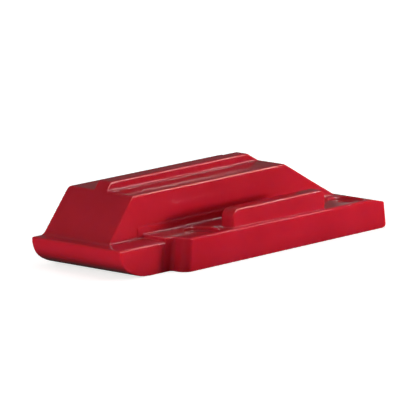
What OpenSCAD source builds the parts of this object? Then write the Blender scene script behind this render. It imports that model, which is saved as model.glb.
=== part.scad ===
// Flanged guide block: a moulded ramp block with an upturned nose, a guide rib along its top,
// a side rail, and two screw holes in a side flange.
// A steel backing plate and two crush sleeves are moulded into it, so that screws can clamp it.
//
// Frame: X runs along the block from the nose (-X) to the tail (+X), Y runs from the screw flange
// (-Y) to the straight side (+Y), and Z is up. The underside is Z = 0.

/* [Overall] */
// Length from the nose tip to the foot of the tail
length = 160; // [120:1:220]
// Width over the flange
width = 56; // [40:1:80]
// Height from the underside to the top of the rib
height = 34; // [24:0.5:50]

/* [Nose] */
// Height of the nose's top at the tip
nose_top = 12.5; // [8:0.1:18]
// How far the nose's side is set in from the flange's side
nose_inset = 7.8; // [3:0.1:14]
// Radius of the long curve under the nose
belly_radius = 25; // [15:0.5:40]
// Radius of the upturned tip
tip_radius = 10; // [5:0.5:16]
// Radius of the edge round the top of the nose
nose_edge = 0.9; // [0.3:0.1:2]

/* [Flange] */
// Height of the flange's top where it begins, near the nose
flange_front_top = 13.9; // [9:0.1:20]
// Height of the flange's top at the tail
flange_rear_top = 13.1; // [9:0.1:20]
// Distance from the nose tip to the foot of the flange's front face
flange_start = 30.6; // [20:0.1:50]
// Radius of the flange's front corner
flange_corner = 4.6; // [2:0.1:12]
// Radius of the hollow between the nose's side and the flange
notch_radius = 1.8; // [0.5:0.1:6]
// Lean of the flange's front and tail faces, in degrees
end_lean = 8; // [0:0.5:15]
// Radius of the edge along the top of the flange
flange_edge = 1; // [0.4:0.1:4]
// Length of the lead-off that drops away at the tail
lead_off = 8.8; // [2:0.1:16]
// Drop of that lead-off
lead_drop = 2; // [0.5:0.1:5]
// Radius where the lead-off begins
lead_radius = 12; // [2:0.5:30]
// Radius where the lead-off meets the tail's face
lead_edge = 1.4; // [0.3:0.1:4]
// Radius under the tail
tail_radius = 2.4; // [0.5:0.1:6]
// Radius of the upright corner at the tail
tail_corner = 1.4; // [0.5:0.1:6]
// Lean of the long sides, in degrees
side_draft = 1.2; // [0:0.1:4]

/* [Ridge] */
// Height of the ridge's top
ridge_top = 30.4; // [20:0.1:45]
// Distance from the flange's side to the foot of the ridge's side
ridge_inset = 19.8; // [10:0.1:30]
// Distance from the nose tip to the front foot of the ridge
ridge_front_foot = 6.9; // [2:0.1:20]
// Distance from the nose tip to the front edge of the ridge's top
ridge_front = 22.4; // [10:0.1:50]
// Distance from the nose tip to the rear edge of the ridge's top
ridge_rear = 117.6; // [80:0.1:150]
// Distance from the nose tip to the rear foot of the ridge
ridge_rear_foot = 150; // [100:0.1:158]
// Radius of the ridge's long top edges
ridge_edge = 0.8; // [0.3:0.1:3]
// Lean of the ridge's side, in degrees
ridge_draft = 1.8; // [0:0.1:6]
// Radius of the ridge's and rib's front cross edges
front_cross_edge = 2.2; // [0.3:0.1:6]
// Radius of the ridge's and rib's rear cross edges
rear_cross_edge = 1.4; // [0.3:0.1:6]
// Radius of the hollow at the ridge's front foot
foot_radius = 3.6; // [0.5:0.1:6]
// Height of the shoulder low on the ridge's side
shoulder_top = 17; // [14:0.1:24]
// How far the shoulder stands out from the ridge's side
shoulder_step = 0.3; // [0.1:0.1:3]
// Radius of the shoulder's top edge
shoulder_edge = 0.2; // [0.1:0.1:1]
// Distance from the nose tip to the start of the shoulder
shoulder_start = 24.4; // [10:0.1:60]

/* [Rib] */
// Width of the rib at its foot
rib_width = 7.2; // [4:0.1:16]
// How far the rib's middle stands from the ridge's middle, away from the flange
rib_offset = 0.8; // [-6:0.1:6]
// Radius of the rib's top edges
rib_edge = 0.8; // [0.3:0.1:3]
// Lean of the rib's sides, in degrees
rib_draft = 6; // [0:0.5:12]

/* [Side rail] */
// Height of the rail's top
rail_top = 21.5; // [16:0.1:32]
// Distance from the nose tip to the rail's front face
rail_start = 61.7; // [50:0.1:90]
// Length of the rail
rail_length = 59.8; // [30:0.1:80]
// Thickness of the rail at its foot
rail_thick = 7; // [3:0.1:12]
// How far the rail is set in from the flange's side
rail_inset = 1.4; // [0.5:0.1:6]
// Radius of the rail's front top corner
rail_front_radius = 4.8; // [1:0.1:7]
// Radius of the rail's rear top corner
rail_rear_radius = 3.4; // [1:0.1:8]
// Radius of the rail's long top edges
rail_edge = 1; // [0.3:0.1:2]
// Radius of the rail's upright corners
rail_corner = 1.9; // [0.3:0.1:3]
// Lean of the rail's sides, in degrees
rail_draft = 3; // [0:0.5:10]
// Lean of the rail's ends, in degrees
rail_end_lean = 3; // [0:0.5:15]

/* [Screw holes] */
// Distance from the nose tip to the front screw hole
hole_front = 51.2; // [40:0.1:60]
// Distance between the two screw holes
hole_spacing = 92.6; // [60:0.1:110]
// Distance from the flange's side to the holes' line
hole_inset = 9.2; // [5:0.1:15]
// Diameter of the screw holes
hole_d = 6.6; // [4:0.1:9]
// Diameter of the recess for a screw head
seat_d = 14.4; // [9:0.1:18]
// Depth of that recess, from the top of the flange at the tail
seat_depth = 1.1; // [0.5:0.1:6]

/* [Steel inserts] */
// Thickness of the backing plate
plate_thick = 3; // [1:0.5:6]
// Red rim left round the backing plate
plate_rim = 4; // [2:0.5:10]
// Corner radius of the backing plate
plate_corner = 4; // [1:0.5:10]
// Outside diameter of a crush sleeve
sleeve_d = 10; // [8:0.1:13]
// Thickness of the moulding over a sleeve's end
sleeve_cover = 1.2; // [0.5:0.1:3]

/* [Hidden] */

RED = [0.72, 0.12, 0.19];
STEEL = [0.66, 0.67, 0.69];

$fn = 64;
arc_step = 6;
arc_gap = 1;
skin = 0.02;
over = 5;
foot_bite = 0.3;
rib_root = 3;

ridge_width = width - ridge_inset;
rib_middle = ridge_inset + ridge_width / 2 + rib_offset;
front_slope = (ridge_front - ridge_front_foot) / (ridge_top - nose_top);
ridge_rear_low = flange_rear_top - foot_bite;
rear_slope = (ridge_rear_foot - ridge_rear) / (ridge_top - ridge_rear_low);
rib_front = ridge_front + front_slope * (height - ridge_top);
rib_rear = ridge_rear - rear_slope * (height - ridge_top);
tip_sweep = 60;
belly_start = tip_radius + (belly_radius - tip_radius) * cos(tip_sweep);
tip_middle = belly_radius - (belly_radius - tip_radius) * sin(tip_sweep);
tip_from = 180 + asin((tip_middle - nose_top + nose_edge) / tip_radius);
tail_foot = length + tail_radius * sin(end_lean) / tan(45 - end_lean / 2);
tail_top = tail_foot - tan(end_lean) * (flange_rear_top - lead_drop);
nose_end = flange_start + 2 * over;
flange_from = flange_start - over;
lead_from = tail_top - lead_off;
flange_slope = (flange_rear_top - flange_front_top) / (lead_from - flange_from);
flange_level = flange_front_top - flange_slope * flange_from;
seat_floor = flange_rear_top - seat_depth;
sleeve_top = seat_floor - sleeve_cover;
plate_start = belly_start + plate_rim;
plate_end = length - tail_radius - plate_rim;
plate_step = flange_start + notch_radius + plate_rim;
plate_side = nose_inset + plate_rim;

// Points of an arc from angle a to angle b.
function arc(x, y, r, a, b) =
    let (n = max(2, ceil(abs(b - a) / arc_step)))
    [for (i = [0:n]) [x + r * cos(a + (b - a) * i / n), y + r * sin(a + (b - a) * i / n)]];

// The corner at b, between a and c, rounded to radius r.
function corner(a, b, c, r) =
    let (
        u = (a - b) / norm(a - b),
        v = (c - b) / norm(c - b),
        half = acos(u * v) / 2,
        m = (u + v) / norm(u + v),
        o = b + m * r / sin(half),
        p = b + u * r / tan(half) - o,
        q = b + v * r / tan(half) - o,
        from = atan2(p[1], p[0]),
        turn = atan2(q[1], q[0]) - from,
        sweep = turn > 180 ? turn - 360 : turn < -180 ? turn + 360 : turn
    )
    arc(o[0], o[1], r, from, from + sweep);

// A polygon whose points are [x, y, radius]: each corner is rounded, or sharp at radius 0.
module rounded(points) {
    n = len(points);
    polygon([
        for (i = [0:n - 1])
            let (
                a = points[(i + n - 1) % n],
                b = points[i],
                c = points[(i + 1) % n],
                b2 = [b[0], b[1]]
            )
            each b[2] == 0 ? [b2] : corner([a[0], a[1]], b2, [c[0], c[1]], b[2])
    ]);
}

// Put the frame's middle under the block, at the level of its underside.
module placed() {
    translate([-length / 2, -width / 2, 0]) children();
}

// Stand a side view (X, Z) up and run it across, past both sides of the block.
module across() {
    translate([0, width + over, 0]) rotate([90, 0, 0]) linear_extrude(width + 2 * over) children();
}

// Stand a cross-section (Y, Z) up and run it along the block, level or on a slope.
module along(from, to, slope = 0) {
    translate([from, 0, 0]) rotate([0, -atan(slope), 0])
        rotate([90, 0, 90]) linear_extrude(to - from) children();
}

// Side view of the nose: a flat top, an upturned tip and a long curve under it.
module nose_side_view() {
    top_end = [nose_end, nose_top + skin];
    polygon(concat(
        [[nose_end, 0], top_end],
        corner(top_end, [0, nose_top + skin], [0, 0], nose_edge),
        arc(tip_radius, tip_middle, tip_radius, tip_from + arc_gap, 180 + tip_sweep),
        arc(belly_start, belly_radius, belly_radius, 180 + tip_sweep + arc_gap, 270)
    ));
}

// Cross-section of a block that stands between two leaning sides, with rounded top edges.
// It is side_a and side_b wide at height 0, and runs on below that.
module bar_section(side_a, side_b, top, edge, draft, draft_b = 0) {
    rounded([
        [side_a - tan(draft) * over, -over, 0],
        [side_b + tan(draft_b) * over, -over, 0],
        [side_b - tan(draft_b) * top, top, edge],
        [side_a + tan(draft) * top, top, edge]
    ]);
}

module nose() {
    intersection() {
        across() nose_side_view();
        along(-over, nose_end + over)
            bar_section(nose_inset, width + over, nose_top, nose_edge, side_draft);
    }
}

// Side view of the flange: a flat top with a lead-off at the tail, which is rounded underneath.
module flange_side_view() {
    rounded([
        [0, 0, 0],
        [tail_foot, 0, tail_radius],
        [tail_top, flange_rear_top - lead_drop, lead_edge],
        [lead_from, flange_rear_top + skin, lead_radius],
        [0, flange_level + skin, 0]
    ]);
}

// Plan of the flange's front: out of the nose's side through a small hollow, round the corner.
module flange_plan() {
    rounded([
        [flange_from, width + over, 0],
        [flange_from, nose_inset, 0],
        [flange_start, nose_inset, notch_radius],
        [flange_start, 0, flange_corner],
        [length + over, 0, 0],
        [length + over, width + over, 0]
    ]);
}

// Plan of the flange's tail, with an upright corner on the screw side.
module tail_plan() {
    rounded([
        [-over, 0, 0],
        [tail_foot, 0, tail_corner],
        [tail_foot, width + over, 0],
        [-over, width + over, 0]
    ]);
}

// Stand a plan up at one end of the flange, leaning by an angle about its foot.
module leaning(foot, angle) {
    translate([foot, 0, 0]) rotate([0, angle, 0])
        translate([-foot, 0, -over]) linear_extrude(2 * height) children();
}

module flange() {
    intersection() {
        across() flange_side_view();
        along(0, length + over, flange_slope)
            bar_section(0, width + over, flange_level, flange_edge, side_draft);
        leaning(flange_start, end_lean) flange_plan();
        leaning(tail_foot, -end_lean) tail_plan();
    }
}

// Side view of the ridge: a long ramp at the tail, a steeper one with a hollow foot at the nose.
module ridge_side_view() {
    low = nose_top - over;
    front_foot = [ridge_front_foot, nose_top];
    front_top = [ridge_front, ridge_top];
    rear_top = [ridge_rear, ridge_top];
    rear_foot = [ridge_rear_foot, ridge_rear_low];
    polygon(concat(
        [[ridge_front_foot, low]],
        corner([0, nose_top], front_foot, front_top, foot_radius),
        corner(front_foot, front_top, rear_top, front_cross_edge),
        corner(front_top, rear_top, rear_foot, rear_cross_edge),
        [rear_foot, [ridge_rear_foot, low]]
    ));
}

module ridge() {
    intersection() {
        across() ridge_side_view();
        along(0, length) bar_section(ridge_inset, width, ridge_top, ridge_edge, ridge_draft);
    }
}

// A low shoulder along the foot of the ridge's side.
module shoulder() {
    intersection() {
        across() ridge_side_view();
        along(shoulder_start, length)
            bar_section(ridge_inset - shoulder_step, ridge_inset + over, shoulder_top,
                shoulder_edge, ridge_draft);
    }
}

// The rib's ends carry on the slopes of the ridge's ends.
module rib() {
    low = ridge_top - rib_root;
    intersection() {
        across()
            rounded([
                [ridge_front - front_slope * rib_root, low, 0],
                [ridge_rear + rear_slope * rib_root, low, 0],
                [rib_rear, height, rear_cross_edge],
                [rib_front, height, front_cross_edge]
            ]);
        along(0, length)
            translate([0, ridge_top])
                bar_section(rib_middle - rib_width / 2, rib_middle + rib_width / 2,
                    height - ridge_top, rib_edge, rib_draft, rib_draft);
    }
}

// The rail stands between the screw holes and leaves a channel beside the ridge.
module rail() {
    end = rail_start + rail_length;
    tall = rail_top - flange_rear_top;
    in = tan(rail_end_lean) * tall;
    intersection() {
        across()
            rounded([
                [rail_start - in, flange_rear_top - tall, 0],
                [end + in, flange_rear_top - tall, 0],
                [end - in, rail_top, rail_rear_radius],
                [rail_start + in, rail_top, rail_front_radius]
            ]);
        along(0, length)
            translate([0, flange_rear_top])
                bar_section(rail_inset, rail_inset + rail_thick, tall, rail_edge, rail_draft,
                    rail_draft);
        linear_extrude(height)
            rounded([
                [rail_start, rail_inset, rail_corner],
                [end, rail_inset, rail_corner],
                [end, rail_inset + rail_thick, rail_corner],
                [rail_start, rail_inset + rail_thick, rail_corner]
            ]);
    }
}

module at_hole(n) {
    translate([hole_front + n * hole_spacing, hole_inset, 0]) children();
}

// One screw hole: its recess for the head, the way through, and the room for its sleeve.
module screw_hole() {
    translate([0, 0, seat_floor]) cylinder(d = seat_d, h = height);
    translate([0, 0, -over]) cylinder(d = hole_d, h = height);
    translate([0, 0, -over]) cylinder(d = sleeve_d, h = sleeve_top + over);
}

module plate_plan() {
    rounded([
        [plate_start, plate_side, plate_corner],
        [plate_step, plate_side, plate_corner / 2],
        [plate_step, plate_rim, plate_corner],
        [plate_end, plate_rim, plate_corner],
        [plate_end, width - plate_rim, plate_corner],
        [plate_start, width - plate_rim, plate_corner]
    ]);
}

// The whole block, with its nose and flange cut off flat along the straight side.
module block() {
    intersection() {
        union() {
            nose();
            flange();
            ridge();
            shoulder();
            rib();
            rail();
        }
        translate([-over, -over, -over]) cube([length + 2 * over, width + over, height + 2 * over]);
    }
}

// The red moulding.
module guide_body() {
    color(RED) placed()
        difference() {
            block();
            translate([0, 0, -over]) linear_extrude(plate_thick + over) plate_plan();
            for (n = [0, 1]) at_hole(n) screw_hole();
        }
}

// A flat steel plate, flush with the underside, which stiffens the moulding.
module backing_plate() {
    color(STEEL) placed()
        difference() {
            linear_extrude(plate_thick) plate_plan();
            for (n = [0, 1]) at_hole(n) translate([0, 0, -over]) cylinder(d = hole_d, h = height);
        }
}

// A steel sleeve stands on the plate round each screw, and takes its clamping force.
module sleeve() {
    difference() {
        translate([0, 0, plate_thick]) cylinder(d = sleeve_d, h = sleeve_top - plate_thick);
        cylinder(d = hole_d, h = height);
    }
}

module front_sleeve() {
    color(STEEL) placed() at_hole(0) sleeve();
}

module rear_sleeve() {
    color(STEEL) placed() at_hole(1) sleeve();
}

guide_body();
backing_plate();
front_sleeve();
rear_sleeve();
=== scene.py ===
import math

import bmesh
import bpy
import numpy as np
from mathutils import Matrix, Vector

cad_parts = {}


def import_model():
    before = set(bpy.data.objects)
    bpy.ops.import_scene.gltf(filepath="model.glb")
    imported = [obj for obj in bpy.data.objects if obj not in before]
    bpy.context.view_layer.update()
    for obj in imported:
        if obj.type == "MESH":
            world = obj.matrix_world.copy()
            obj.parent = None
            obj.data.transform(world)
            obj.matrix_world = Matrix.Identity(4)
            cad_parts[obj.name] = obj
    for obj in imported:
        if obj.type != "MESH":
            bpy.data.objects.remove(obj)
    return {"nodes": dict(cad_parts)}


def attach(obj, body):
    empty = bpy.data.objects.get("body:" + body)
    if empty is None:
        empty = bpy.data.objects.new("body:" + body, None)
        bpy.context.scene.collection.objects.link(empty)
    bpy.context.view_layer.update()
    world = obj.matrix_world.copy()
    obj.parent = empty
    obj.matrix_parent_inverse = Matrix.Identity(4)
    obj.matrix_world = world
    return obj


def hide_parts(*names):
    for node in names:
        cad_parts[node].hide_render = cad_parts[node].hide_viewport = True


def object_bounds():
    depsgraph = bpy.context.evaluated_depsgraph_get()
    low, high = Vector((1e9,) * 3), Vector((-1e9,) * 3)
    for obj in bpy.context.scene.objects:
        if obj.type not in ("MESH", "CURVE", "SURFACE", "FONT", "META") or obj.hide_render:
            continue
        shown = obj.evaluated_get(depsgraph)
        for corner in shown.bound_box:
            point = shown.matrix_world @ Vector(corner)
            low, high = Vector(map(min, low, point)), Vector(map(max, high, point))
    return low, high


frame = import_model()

MM = 0.001
cad_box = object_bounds()
lowest, highest = cad_box
middle = (lowest + highest) / 2
scene = bpy.context.scene

# ---------------------------------------------------------------- the moulding

VOXEL = 0.28 * MM
WELD = 0.001 * MM
SMOOTHING = 6
KEPT_SHARE = 0.22


def evaluated(piece):
    """The piece's mesh with its modifiers worked in. The piece is left without modifiers."""
    bpy.context.view_layer.update()
    graph = bpy.context.evaluated_depsgraph_get()
    made = bpy.data.meshes.new_from_object(piece.evaluated_get(graph))
    piece.modifiers.clear()
    return made


def vectors(items, field):
    """One vector of each vertex or face, as rows."""
    flat = np.empty(len(items) * 3, np.float32)
    items.foreach_get(field, flat)
    return flat.reshape(-1, 3)


def softened(node, name):
    """A copy of a CAD node as it comes out of a polished mould: its outer edges are eased off.

    The easing only ever moves a vertex inwards, so that it doesn't fill the hollows.
    """
    mesh = frame["nodes"][node].data.copy()
    bm = bmesh.new()
    bm.from_mesh(mesh)
    bmesh.ops.remove_doubles(bm, verts=bm.verts, dist=WELD)
    bm.to_mesh(mesh)
    bm.free()
    piece = bpy.data.objects.new(name, mesh)
    scene.collection.objects.link(piece)
    skin = piece.modifiers.new("skin", "REMESH")
    skin.mode = "VOXEL"
    skin.voxel_size = VOXEL
    piece.data = evaluated(piece)
    before = vectors(piece.data.vertices, "co")
    outward = vectors(piece.data.vertex_normals, "vector")
    soft = piece.modifiers.new("soft", "SMOOTH")
    soft.factor = 0.5
    soft.iterations = SMOOTHING
    after = vectors(evaluated(piece).vertices, "co")
    inward = ((after - before) * outward).sum(axis=1, keepdims=True) < 0
    points = np.where(inward, after, before)
    piece.data.vertices.foreach_set("co", points.ravel())
    thin = piece.modifiers.new("thin", "DECIMATE")
    thin.ratio = KEPT_SHARE
    made = evaluated(piece)
    piece.data = made
    made.name = name
    made.materials.clear()
    points = np.clip(vectors(made.vertices, "co"), np.array(lowest), np.array(highest))
    made.vertices.foreach_set("co", points.ravel())
    made.shade_smooth()
    made.update()
    return piece


moulding = softened("guide_body", "moulding")
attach(moulding, "root")
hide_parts("guide_body")

# ------------------------------------------------------------------- materials

DARK_RED = (0.50, 0.0120, 0.0290)
MIDDLE_RED = (0.55, 0.0140, 0.0330)
LIGHT_RED = (0.59, 0.0160, 0.0360)
FLOW_RED = (0.45, 0.0110, 0.0260)
ROLLED_STEEL = (0.50, 0.50, 0.49)
TURNED_STEEL = (0.56, 0.55, 0.52)
DULL_DEPTH = 1.5 * MM
FULL_SHINE = 0.5
DULL_SHINE = 0.1


class Nodes:
    """A short way to lay out a material's nodes."""

    def __init__(self, name):
        self.material = bpy.data.materials.new(name)
        self.material.use_nodes = True
        self.tree = self.material.node_tree
        self.tree.nodes.clear()
        self.shader = self.add("ShaderNodeBsdfPrincipled")
        output = self.add("ShaderNodeOutputMaterial")
        self.join(self.shader.outputs["BSDF"], output.inputs["Surface"])
        self.place = self.add("ShaderNodeTexCoord").outputs["Object"]

    def add(self, kind, **values):
        made = self.tree.nodes.new(kind)
        for key, value in values.items():
            setattr(made, key, value)
        return made

    def join(self, start, end):
        self.tree.links.new(start, end)

    def noise(self, scale, detail=3.0, roughness=0.5, stretch=(1, 1, 1), distortion=0.0):
        """Noise whose grains are 1 / scale metres across."""
        mapping = self.add("ShaderNodeMapping")
        mapping.inputs["Scale"].default_value = stretch
        self.join(self.place, mapping.inputs["Vector"])
        made = self.add("ShaderNodeTexNoise")
        self.join(mapping.outputs["Vector"], made.inputs["Vector"])
        made.inputs["Scale"].default_value = scale
        made.inputs["Detail"].default_value = detail
        made.inputs["Roughness"].default_value = roughness
        made.inputs["Distortion"].default_value = distortion
        return made.outputs["Fac"]

    def remap(self, noise, low, high):
        """Noise from its usual spread to a range of its own."""
        made = self.add("ShaderNodeMapRange")
        self.join(noise, made.inputs["Value"])
        made.inputs["From Min"].default_value = 0.3
        made.inputs["From Max"].default_value = 0.7
        made.inputs["To Min"].default_value = low
        made.inputs["To Max"].default_value = high
        return made.outputs["Result"]

    def ramp(self, value, *stops):
        made = self.add("ShaderNodeValToRGB")
        self.join(value, made.inputs["Fac"])
        ramp = made.color_ramp
        while len(ramp.elements) < len(stops):
            ramp.elements.new(0.5)
        for element, (place, colour) in zip(ramp.elements, stops):
            element.position = place
            element.color = (*colour, 1)
        return made.outputs["Color"]

    def mix(self, factor, first, second):
        made = self.add("ShaderNodeMix", data_type="RGBA")
        for socket, value in (("Factor", factor), ("A", first), ("B", second)):
            end = [s for s in made.inputs if s.name == socket and s.enabled][0]
            if isinstance(value, bpy.types.NodeSocket):
                self.join(value, end)
            else:
                end.default_value = value
        return [s for s in made.outputs if s.enabled][0]

    def bump(self, height, distance, strength=1.0, under=None):
        made = self.add("ShaderNodeBump")
        made.inputs["Strength"].default_value = strength
        made.inputs["Distance"].default_value = distance
        self.join(height, made.inputs["Height"])
        if under is not None:
            self.join(under, made.inputs["Normal"])
        return made.outputs["Normal"]

    def set(self, **values):
        for key, value in values.items():
            self.shader.inputs[key.replace("_", " ")].default_value = value

    def drive(self, name, value):
        self.join(value, self.shader.inputs[name])


def red_moulding(name, shine):
    """Glossy red moulded plastic: cloudy colour, faint flow lines, orange peel and rubbed spots."""
    m = Nodes(name)
    clouds = m.noise(28, detail=4, distortion=0.6)
    flow = m.noise(40, detail=5, roughness=0.6, stretch=(0.25, 1.6, 1.0), distortion=1.2)
    colour = m.ramp(clouds, (0.30, DARK_RED), (0.52, MIDDLE_RED), (0.72, LIGHT_RED))
    colour = m.mix(m.remap(flow, 0.0, 0.35), colour, (*FLOW_RED, 1))
    m.drive("Base Color", colour)
    rubbed = m.noise(160, detail=6, roughness=0.65)
    smear = m.noise(22, detail=3, stretch=(0.6, 1.4, 1.0))
    gloss = m.mix(0.5, m.remap(rubbed, 0.03, 0.07), m.remap(smear, 0.03, 0.08))
    m.drive("Roughness", gloss)
    peel = m.bump(m.noise(900, detail=2), 0.000012)
    m.drive("Normal", m.bump(m.noise(90, detail=2), 0.00006, under=peel))
    m.set(
        IOR=1.5,
        Specular_IOR_Level=shine,
        Subsurface_Weight=0.8,
        Subsurface_Radius=(1.0, 0.20, 0.08),
        Subsurface_Scale=4 * MM,
    )
    return m.material


def steel(name, tint, along, rough):
    """Rolled or turned steel under a thin zinc coat: fine grain one way and dull spangle."""
    m = Nodes(name)
    grain = m.noise(700, detail=4, roughness=0.6, stretch=along)
    spangle = m.noise(85, detail=2, roughness=0.4)
    dull = [0.72 * c for c in tint]
    dark = [0.5 * c for c in tint]
    colour = m.ramp(spangle, (0.35, dull), (0.65, tint))
    colour = m.mix(m.remap(grain, 0.0, 0.30), colour, (*dark, 1))
    m.drive("Base Color", colour)
    m.drive("Roughness", m.remap(grain, rough, rough + 0.2))
    m.drive("Normal", m.bump(grain, 0.00002, 0.6))
    m.set(Metallic=1.0)
    return m.material


def dull_side(piece, material):
    """The flange's own side is duller than the rest of the moulding."""
    mesh = piece.data
    mesh.materials.append(material)
    on_side = vectors(mesh.polygons, "center")[:, 1] < lowest.y + DULL_DEPTH
    mesh.polygons.foreach_set("material_index", on_side.astype(np.int32))
    mesh.update()


def repaint(node, material):
    """A CAD node keeps its mesh, and takes a material in its object's slots."""
    for slot in frame["nodes"][node].material_slots:
        slot.link = "OBJECT"
        slot.material = material


moulding.data.materials.append(red_moulding("red_moulding", FULL_SHINE))
dull_side(moulding, red_moulding("dull_moulding", DULL_SHINE))
repaint("backing_plate", steel("rolled_steel", ROLLED_STEEL, (0.08, 1, 1), 0.30))
turned = steel("turned_steel", TURNED_STEEL, (1, 1, 0.1), 0.25)
repaint("front_sleeve", turned)
repaint("rear_sleeve", turned)

# ---------------------------------------------------------- floor, light, camera

FLOOR_REACH = 3.0
FLOOR_GAP = 0.05 * MM
FLOOR_GREY = (0.60, 0.60, 0.60, 1)
GLOW = (0.82, 0.82, 0.815, 1)
# Glow colour close under the object: painted contact shadow.
GLOW_PAINTED_SHADE_UNDER = (0.72, 0.72, 0.71, 1)
# How far from the object the painted contact shadow reaches.
PAINTED_SHADE_REACH = 25 * MM
CARD_LEVEL = 1 * MM
SKY_STOPS = ((0.0, 0.03), (0.47, 0.04), (0.53, 0.09), (1.0, 0.10))
CAMERA_AZIMUTH = -49.317
CAMERA_ELEVATION = 10.8635
CAMERA_DISTANCE = 2.2314
CAMERA_AIM = Vector((-0.8, 3.7, -4.3)) * MM
LENS = 467.4


def floor():
    """A plain white sweep. It takes a faint shadow, and throws no light back at the object.

    The floor's glow is darkened close under the object by ambient occlusion: a painted contact
    shadow.
    """
    made = bpy.data.materials.new("pale_floor")
    made.use_nodes = True
    tree = made.node_tree
    tree.nodes.clear()
    matt = tree.nodes.new("ShaderNodeBsdfDiffuse")
    matt.inputs["Color"].default_value = FLOOR_GREY
    # Ambient occlusion darkens the floor's glow near the object: painted contact shadow.
    painted_shade_amount = tree.nodes.new("ShaderNodeAmbientOcclusion")
    painted_shade_amount.inputs["Distance"].default_value = PAINTED_SHADE_REACH
    glow_with_painted_shade = tree.nodes.new("ShaderNodeValToRGB")
    glow_with_painted_shade.color_ramp.elements[0].color = GLOW_PAINTED_SHADE_UNDER
    glow_with_painted_shade.color_ramp.elements[1].color = GLOW
    tree.links.new(painted_shade_amount.outputs["AO"], glow_with_painted_shade.inputs["Fac"])
    glow = tree.nodes.new("ShaderNodeEmission")
    tree.links.new(glow_with_painted_shade.outputs["Color"], glow.inputs["Color"])
    both = tree.nodes.new("ShaderNodeAddShader")
    output = tree.nodes.new("ShaderNodeOutputMaterial")
    tree.links.new(matt.outputs["BSDF"], both.inputs[0])
    tree.links.new(glow.outputs["Emission"], both.inputs[1])
    tree.links.new(both.outputs["Shader"], output.inputs["Surface"])
    mesh = bpy.data.meshes.new("floor")
    r, z = FLOOR_REACH, lowest.z - FLOOR_GAP
    corners = [(-r, -r, z), (r, -r, z), (r, r, z), (-r, r, z)]
    mesh.from_pydata(corners, [], [(0, 1, 2, 3)])
    mesh.materials.append(made)
    sweep = bpy.data.objects.new("floor", mesh)
    sweep.visible_diffuse = False
    sweep.visible_glossy = False
    scene.collection.objects.link(sweep)


def outward_from(azimuth, elevation):
    """The way out from the object, in degrees. Azimuth 0 is in front of the -Y side."""
    a, e = math.radians(azimuth), math.radians(elevation)
    return Vector((math.sin(a) * math.cos(e), -math.cos(a) * math.cos(e), math.sin(e)))


def area_light(name, place, turn, size, power):
    data = bpy.data.lights.new(name, "AREA")
    data.shape = "RECTANGLE"
    data.size, data.size_y = size
    data.energy = power
    made = bpy.data.objects.new(name, data)
    made.location = place
    made.rotation_mode = "QUATERNION"
    made.rotation_quaternion = turn
    made.visible_camera = False
    scene.collection.objects.link(made)
    return made


def softbox(name, azimuth, elevation, distance, size, power, spread=True, shine=True):
    """A light that looks at the object. It may leave out the spread or the shine it gives."""
    back = outward_from(azimuth, elevation)
    turn = back.to_track_quat("Z", "Y")
    made = area_light(name, middle + back * distance, turn, size, power)
    made.visible_diffuse = spread
    made.visible_glossy = shine


def floor_card(name, x, y, size, power):
    """The light that a white floor throws up beside the object."""
    face_up = (0, 1, 0, 0)
    made = area_light(name, (x, y, CARD_LEVEL), face_up, size, power)
    made.visible_glossy = False


def world():
    """A dim studio, darker below the horizon than above it."""
    made = bpy.data.worlds.new("studio")
    made.use_nodes = True
    tree = made.node_tree
    sky = tree.nodes["Background"]
    place = tree.nodes.new("ShaderNodeTexCoord")
    split = tree.nodes.new("ShaderNodeSeparateXYZ")
    tree.links.new(place.outputs["Generated"], split.inputs["Vector"])
    span = tree.nodes.new("ShaderNodeMapRange")
    span.inputs["From Min"].default_value = -1
    tree.links.new(split.outputs["Z"], span.inputs["Value"])
    ramp = tree.nodes.new("ShaderNodeValToRGB")
    tree.links.new(span.outputs["Result"], ramp.inputs["Fac"])
    while len(ramp.color_ramp.elements) < len(SKY_STOPS):
        ramp.color_ramp.elements.new(0.5)
    for element, (place_at, level) in zip(ramp.color_ramp.elements, SKY_STOPS):
        element.position = place_at
        element.color = (level, level, level, 1)
    tree.links.new(ramp.outputs["Color"], sky.inputs["Color"])
    scene.world = made


def camera():
    back = outward_from(CAMERA_AZIMUTH, CAMERA_ELEVATION)
    data = bpy.data.cameras.new("camera")
    data.sensor_width = 36
    data.lens = LENS
    data.shift_x = 0.0082
    data.shift_y = 0.0183
    data.clip_start, data.clip_end = 0.1, 50
    made = bpy.data.objects.new("camera", data)
    made.location = middle + CAMERA_AIM + back * CAMERA_DISTANCE
    made.rotation_mode = "QUATERNION"
    made.rotation_quaternion = back.to_track_quat("Z", "Y")
    scene.collection.objects.link(made)
    scene.camera = made


floor()
world()
# Angles are in degrees, lengths in metres and powers in watts.
softbox("key", 52, 5, 1.0, (0.22, 0.14), 9.2, shine=False)
softbox("front_fill", 32, 24, 1.0, (0.36, 0.24), 1.0, shine=False)
softbox("left_fill", -84, 20, 1.0, (0.5, 0.4), 3.4, shine=False)
softbox("back_fill", 170, 16, 1.0, (0.5, 0.4), 3.0, shine=False)
softbox("ceiling", 0, 80, 1.0, (0.5, 0.5), 0.8, shine=False)
softbox("glint", 58, 28, 1.0, (0.20, 0.06), 1.2, spread=False)
softbox("corner_glint", 24, 34, 1.0, (0.44, 0.30), 9.0, spread=False)
softbox("rear_card", 117, 11, 1.2, (0.40, 0.26), 0.08, spread=False)
floor_card("side_card", 0, lowest.y - 0.09, (0.30, 0.14), 0.11)
floor_card("nose_card", lowest.x - 0.03, 0, (0.05, 0.11), 0.02)
floor_card("tip_card", lowest.x, lowest.y - 0.03, (0.04, 0.04), 0.015)
camera()
scene.view_settings.view_transform = "Standard"
